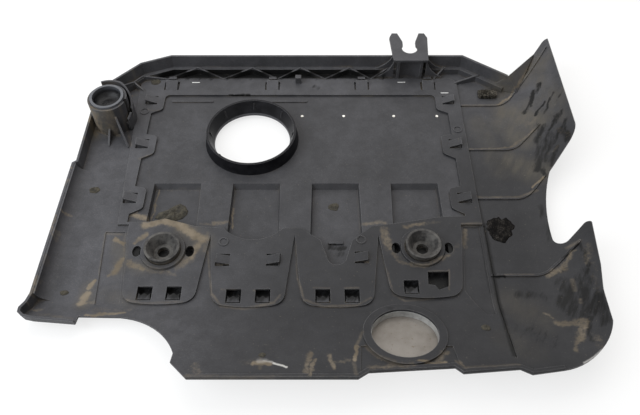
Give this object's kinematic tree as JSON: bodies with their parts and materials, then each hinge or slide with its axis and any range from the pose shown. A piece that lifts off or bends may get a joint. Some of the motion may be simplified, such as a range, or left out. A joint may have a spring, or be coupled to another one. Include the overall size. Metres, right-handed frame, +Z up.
{
  "type": "engine cover",
  "caption": "Plastic engine cover lying underside up, with ribbed skirts, snap-in insert panel with runner fingers, filler collar, bright front cap and rubber ball-socket mounts.",
  "frame": {"origin": "on the table under the middle of the plan, the cover lying on its outer face", "axes": "+X to the right as seen from the front edge, +Y to the rear hook bracket, +Z up, out of the underside"},
  "size_m": [0.556, 0.45, 0.05],
  "materials": {
    "cover_plastic": "matte black moulding, dusty on the inside",
    "insert_plastic": "matte dark grey moulding",
    "collar_plastic": "matte black",
    "bright_trim": "satin silver",
    "mount_rubber": "matte rubber, dusty",
    "brown_foam": "coarse brown foam",
    "dark_foam": "torn dark foam"
  },
  "bodies": {
    "root": {"cover_shell": "cover_plastic", "insert_panel": "insert_plastic", "filler_collar": "collar_plastic", "front_cap": "bright_trim", "badge_plate": "bright_trim", "tower_grommet": "mount_rubber", "left_socket_grommet": "mount_rubber", "right_socket_grommet": "mount_rubber", "foam_pad": "brown_foam", "torn_foam_pad": "dark_foam"}
  },
  "joints": []
}
